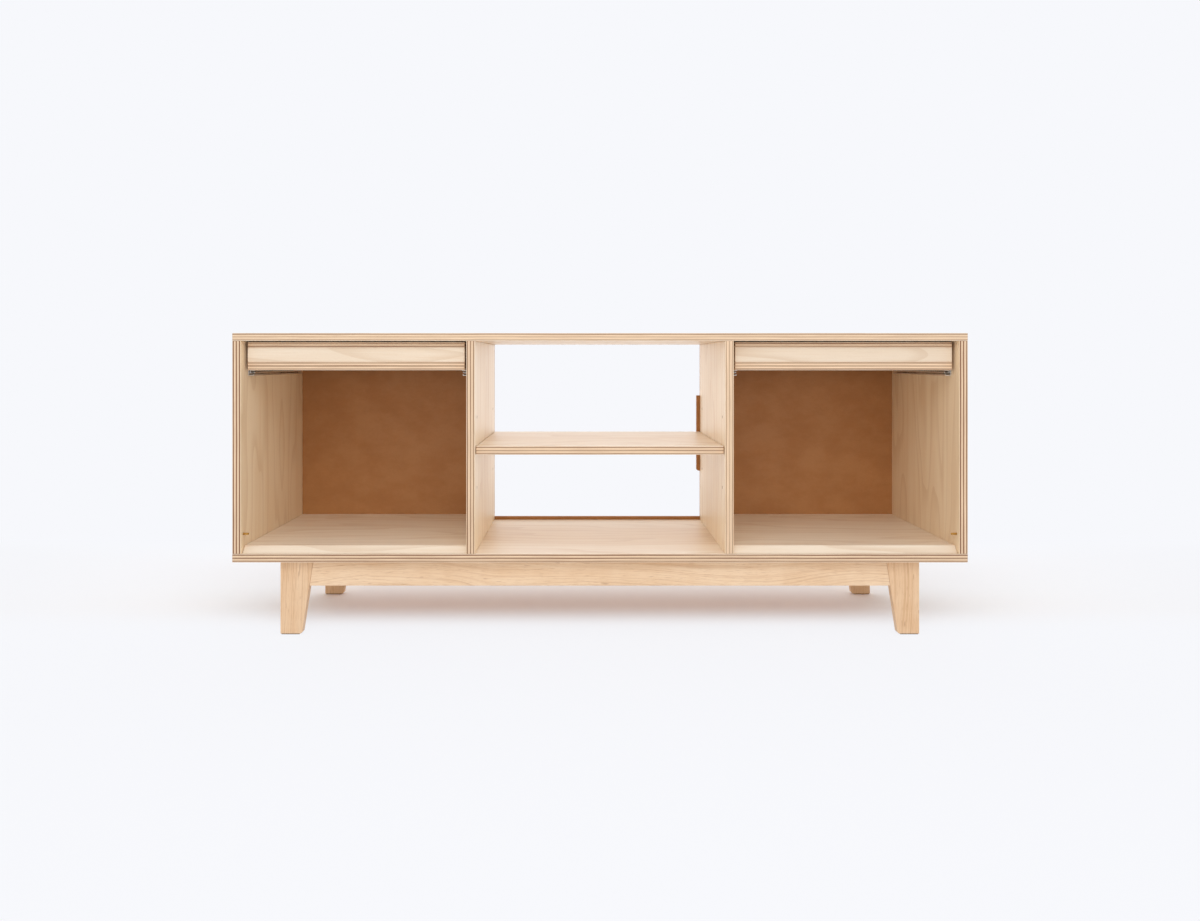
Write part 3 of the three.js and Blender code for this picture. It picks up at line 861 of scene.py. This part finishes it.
body = bmesh.new()
pin_names = []
for side, sign in SIDES:
    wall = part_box(f"{side}_divider")[1 if sign < 0 else 0][X]
    for row in ROWS:
        name = f"{side}_{row}_shelf_pin"
        pin_names.append(name)
        low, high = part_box(name)
        radius = (high[Z] - low[Z]) / 2
        length = high[X] - low[X]
        centre = middle_of(name)
        start = (low[X] if sign < 0 else high[X], centre[Y], centre[Z])
        seat = abs(wall - start[X])
        part_round = PIN_ROUND_SHARE * PIN_ROUND
        profile = [
            (0.0, 0.0, 0),
            (0.0, radius - PIN_ROUND, 0),
            (PIN_ROUND, radius, 0),
            (seat, radius, 0),
            (seat, PIN_COLLAR_RADIUS, 0),
            (seat + PIN_COLLAR, PIN_COLLAR_RADIUS, 0),
            (seat + PIN_COLLAR, radius, 0),
            (length - PIN_ROUND, radius, 0),
            (length - part_round, radius - part_round, 0),
            (length, radius - PIN_ROUND, 0),
            (length, 0.0, 0),
        ]
        turned(body, start, (-sign, 0, 0), profile)
new_piece("shelf_pins", body, STEEL, "cabinet", pin_names)


# Screws that hold the base to the carcass

BASE_SHANK = 0.002
BASE_HEAD = 0.0045
BASE_HEAD_HEIGHT = 0.003
BASE_TIP = 0.006

body = bmesh.new()
screw_names = []
for side, _ in SIDES:
    for row in ROWS:
        name = f"{side}_{row}_base_screw"
        screw_names.append(name)
        low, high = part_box(name)
        centre = middle_of(name)
        seat = high[Z] - low[Z] - BASE_HEAD_HEIGHT
        profile = [(0.0, 0.0, 0), (BASE_TIP, BASE_SHANK, 0), (seat, BASE_SHANK, 0)]
        profile += pan_head(BASE_HEAD, BASE_HEAD_HEIGHT, seat)
        turned(body, (centre[X], centre[Y], high[Z]), (0, 0, -1), profile)
new_piece("base_screws", body, STEEL, "cabinet", screw_names)


# Back sheet with countersunk screws into the carcass's edges

SINK_RADIUS = 0.0042
SINK_DEPTH = 0.0036
SINK_FOOT = 0.0016
CUT_OVER = 0.0006
SCREW_SUNK = 0.0003
SCREW_RADIUS = 0.0037
SCREW_HEAD = 0.0026
SCREW_RIM = 0.0002
SCREW_NECK_SHARE = 0.9
SIDE_SCREW_SHARES = (0.33, 0.67)

# The face of a countersunk head: depths below its crown, and shares of its radius
SCREW_FACE = ((0.0, 0.95, 0), (0.0, 0.62, 0), (0.0, 0.58, 1), (0.0014, 0.36, 1), (0.0016, 0.0, 0))

_, back_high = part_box("back_panel")
edge_x = middle_of("right_side")[X]
divider_x = middle_of("right_divider")[X]
top_z = middle_of("top_panel")[Z]
bottom_z = middle_of("bottom_panel")[Z]
bay_x = (edge_x + divider_x) / 2
side_z = [bottom_z + (top_z - bottom_z) * share for share in SIDE_SCREW_SHARES]
screw_grids = (
    ((edge_x, bay_x, divider_x), (top_z, bottom_z)),
    ((edge_x, divider_x), side_z),
)
screw_places = []
for columns, levels in screw_grids:
    screw_places += [(sign * x, z) for _, sign in SIDES for x in columns for z in levels]
screw_places.append((0.0, top_z))

sheet = link(bpy.data.objects.new("back_sheet", nodes["back_panel"].data.copy()))
sheet.data.materials.clear()
sheet.data.materials.append(BROWN)
shape = bmesh.new()
shape.from_mesh(sheet.data)
bmesh.ops.remove_doubles(shape, verts=shape.verts, dist=WELD_GAP)
shape.to_mesh(sheet.data)
shape.free()

foot = back_high[Y] - SINK_DEPTH
slope = (SINK_RADIUS - SINK_FOOT) / SINK_DEPTH
sink_profile = [
    (0.0, 0.0, 0),
    (0.0, SINK_FOOT, 0),
    (SINK_DEPTH + CUT_OVER, SINK_RADIUS + CUT_OVER * slope, 0),
    (SINK_DEPTH + CUT_OVER, 0.0, 0),
]
crown = SINK_DEPTH - SCREW_SUNK
head_profile = [
    (crown - SCREW_HEAD, 0.0, 0),
    (crown - SCREW_HEAD, SINK_FOOT * SCREW_NECK_SHARE, 0),
    (crown - SCREW_RIM, SCREW_RADIUS, 0),
]
for drop, width, crossed in SCREW_FACE:
    head_profile.append((crown - drop, SCREW_RADIUS * width, crossed))

sinks = bmesh.new()
heads = bmesh.new()
for x, z in screw_places:
    turned(sinks, (x, foot, z), (0, 1, 0), sink_profile)
    turned(heads, (x, foot, z), (0, 1, 0), head_profile)
bmesh.ops.recalc_face_normals(sinks, faces=sinks.faces)
cutter_mesh = bpy.data.meshes.new("sinks")
sinks.to_mesh(cutter_mesh)
sinks.free()
cutter = link(bpy.data.objects.new("sinks", cutter_mesh))
cut = sheet.modifiers.new("sinks", "BOOLEAN")
cut.operation = "DIFFERENCE"
cut.solver = "EXACT"
cut.object = cutter
bpy.context.view_layer.update()
cut_sheet = sheet.evaluated_get(bpy.context.evaluated_depsgraph_get())
cut_mesh = bpy.data.meshes.new_from_object(cut_sheet)
sheet.modifiers.clear()
sheet.data = cut_mesh
bpy.data.objects.remove(cutter)
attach(sheet, "cabinet")
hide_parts("back_panel")
new_piece("back_screws", heads, ZINC, "cabinet")


# Ball strips between the slides' members, and the screws of the members on the drawers

GAUGE = 0.0012
RACE_GAP = 0.0034
BALL_RADIUS = 0.0016
BALL_COUNT = 12
STRIP_LENGTH = 0.115
STRIP_END = 0.005
STRIP_THICKNESS = 0.0005
OUTER_STRIP_SHIFT = 0.0008
OUTER_STRIP_HALF = 0.0036
INNER_STRIP_HALF = 0.0032
SLIDE_SCREW_RADIUS = 0.0034
SLIDE_SCREW_HEIGHT = 0.0018
SLIDE_SCREW_SHARES = (0.05, 0.5, 0.95)


def ball_strip(body, x, y, z, half_width):
    """A thin strip along Y from y, with balls in it."""
    size = (2 * half_width, STRIP_LENGTH, STRIP_THICKNESS)
    place = Matrix.Translation((x, y + STRIP_LENGTH / 2, z)) @ Matrix.Diagonal((*size, 1))
    bmesh.ops.create_cube(body, size=1, matrix=place)
    pitch = STRIP_LENGTH / BALL_COUNT
    for count in range(BALL_COUNT):
        ball = Matrix.Translation((x, y + (count + 0.5) * pitch, z))
        bmesh.ops.create_icosphere(body, subdivisions=2, radius=BALL_RADIUS, matrix=ball)


slide_screw = [(0.0, 0.0, 0)] + pan_head(SLIDE_SCREW_RADIUS, SLIDE_SCREW_HEIGHT)
for side, _ in SIDES:
    strips = bmesh.new()
    screws = bmesh.new()
    for end, sign in SIDES:
        low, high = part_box(f"{side}_bay_{end}_slide_middle")
        x = (low[X] + high[X]) / 2
        outer_y = high[Y] - STRIP_END - STRIP_LENGTH
        inner_y = low[Y] + STRIP_END
        for flange, way in ((low[Z], -1), (high[Z], 1)):
            outer_z = flange + way * RACE_GAP / 2
            inner_z = flange - way * (GAUGE + RACE_GAP / 2)
            ball_strip(strips, x + sign * OUTER_STRIP_SHIFT, outer_y, outer_z, OUTER_STRIP_HALF)
            ball_strip(strips, x, inner_y, inner_z, INNER_STRIP_HALF)
        low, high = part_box(f"{side}_bay_{end}_slide_drawer")
        web = (high[X] - GAUGE) if sign < 0 else (low[X] + GAUGE)
        for share in SLIDE_SCREW_SHARES:
            place = (web, low[Y] + (high[Y] - low[Y]) * share, (low[Z] + high[Z]) / 2)
            turned(screws, place, (sign, 0, 0), slide_screw)
    new_piece(f"{side}_ball_strips", strips, STEEL, f"{side}_slide_middle")
    new_piece(f"{side}_slide_screws", screws, ZINC, f"{side}_drawer")


# Floor and light. Under the cabinet the floor has painted warm bounce light: a cooler lit colour
# with a faint red glow, which reads warm where the shadow falls. The floor fades into the plain
# ground all round, and sooner behind and in front, where the fade paints out the cabinet's shadow
# as if lit from the front.

GROUND_SHOWN = srgb(247, 248, 252)
FLOOR_HALF = 30.0
FLOOR_PALE = (0.85, 0.85, 0.86, 1.0)
FLOOR_LIT = (0.94, 0.945, 0.975, 1.0)
FLOOR_PAINTED_BOUNCE_LIT = (0.86, 0.96, 0.98, 1.0)
FLOOR_PAINTED_BOUNCE_GLOW = (0.11, 0.005, 0.0, 1.0)
PAINTED_BOUNCE_WIDTH = (0.45, 0.75, 1.0, 0.0)
PAINTED_BOUNCE_DEPTH = (0.16, 0.34, 1.0, 0.0)
FADE = (0.9, 2.2)
FRONT_PAINTED_LIGHT_FADE = (-0.14, 0.06, 0.9, 0.0)
REAR_FADE = (0.35, 0.75)
SKY_STRENGTH = 0.9


def shown_rays(graph):
    """1 for rays that see the white ground: the camera's, and those of gloss and of glass."""
    path = graph.add("ShaderNodeLightPath")
    seen = graph.most(path.outputs["Is Camera Ray"], path.outputs["Is Glossy Ray"])
    return graph.most(seen, path.outputs["Is Transmission Ray"])


def pale_floor():
    """A pale floor that keeps most of the shadow, with painted warm bounce light under the cabinet,
    and fades into the white ground of the picture.
    """
    mesh = bpy.data.meshes.new("floor")
    half = FLOOR_HALF
    corners = [(-half, -half, 0), (half, -half, 0), (half, half, 0), (-half, half, 0)]
    mesh.from_pydata(corners, [], [(0, 1, 2, 3)])
    material, graph, shader = new_material("floor")
    tree = material.node_tree
    tree.nodes.remove(shader)
    place = graph.object_place()
    far = graph.remap(graph.length(place), *FADE)
    # Painted light in front: the shadow under the front of the cabinet fades into the plain ground
    ahead = graph.remap(graph.split(place)[Y], *FRONT_PAINTED_LIGHT_FADE)
    behind = graph.remap(graph.split(place)[Y], *REAR_FADE)
    far = graph.most(far, graph.most(ahead, behind))
    # Painted warm bounce light over the cabinet's footprint: a cooler lit colour and a faint red
    # glow
    spread = graph.split(graph.vector("ABSOLUTE", place))
    under = graph.times(graph.remap(spread[X], *PAINTED_BOUNCE_WIDTH), graph.remap(spread[Y], *PAINTED_BOUNCE_DEPTH))
    lit_colour = graph.tint(under, FLOOR_LIT, FLOOR_PAINTED_BOUNCE_LIT)
    pale = graph.add("ShaderNodeBsdfDiffuse", {"Color": FLOOR_PALE})
    lit = graph.add("ShaderNodeBsdfDiffuse", {"Color": lit_colour})
    glow = graph.add("ShaderNodeEmission", {"Color": FLOOR_PAINTED_BOUNCE_GLOW, "Strength": under})
    near_look = graph.add("ShaderNodeAddShader", {0: lit.outputs[0], 1: glow.outputs[0]})
    plain = graph.add("ShaderNodeEmission", {"Color": GROUND_SHOWN})
    looks = {0: far, 1: near_look.outputs[0], 2: plain.outputs[0]}
    look = graph.add("ShaderNodeMixShader", looks)
    parts = {0: shown_rays(graph), 1: pale.outputs[0], 2: look.outputs[0]}
    both = graph.add("ShaderNodeMixShader", parts)
    graph.put(tree.nodes["Material Output"].inputs["Surface"], both.outputs[0])
    mesh.materials.append(material)
    link(bpy.data.objects.new("floor", mesh))


def area_light(name, place, aim, width, depth, power):
    data = bpy.data.lights.new(name, "AREA")
    data.shape = "RECTANGLE"
    data.size = width
    data.size_y = depth
    data.energy = power
    light = link(bpy.data.objects.new(name, data))
    light.location = place
    light.rotation_euler = (Vector(aim) - Vector(place)).to_track_quat("-Z", "Y").to_euler()
    light.visible_camera = False


def sky():
    """Even light from all round, and a white ground where the camera sees past the floor."""
    world = bpy.data.worlds.new("world")
    scene.world = world
    world.use_nodes = True
    graph = Graph(world.node_tree)
    lit = world.node_tree.nodes["Background"]
    lit.inputs["Color"].default_value = (1.0, 1.0, 1.0, 1.0)
    lit.inputs["Strength"].default_value = SKY_STRENGTH
    shown = graph.add("ShaderNodeBackground", {"Color": GROUND_SHOWN, "Strength": 1.0})
    parts = {0: shown_rays(graph), 1: lit.outputs[0], 2: shown.outputs[0]}
    mix = graph.add("ShaderNodeMixShader", parts)
    graph.put(world.node_tree.nodes["World Output"].inputs["Surface"], mix.outputs[0])


pale_floor()
sky()
area_light("key", (-0.05, -1.6, 1.4), (0.0, -0.1, 0.2), width=1.4, depth=0.6, power=6.3)
area_light("rear_wall", (0.0, 1.15, 0.5), (0.0, 0.0, 0.4), width=2.4, depth=0.8, power=4.2)


# Colours shown as they are written, through the standard view

scene.view_settings.view_transform = "Standard"
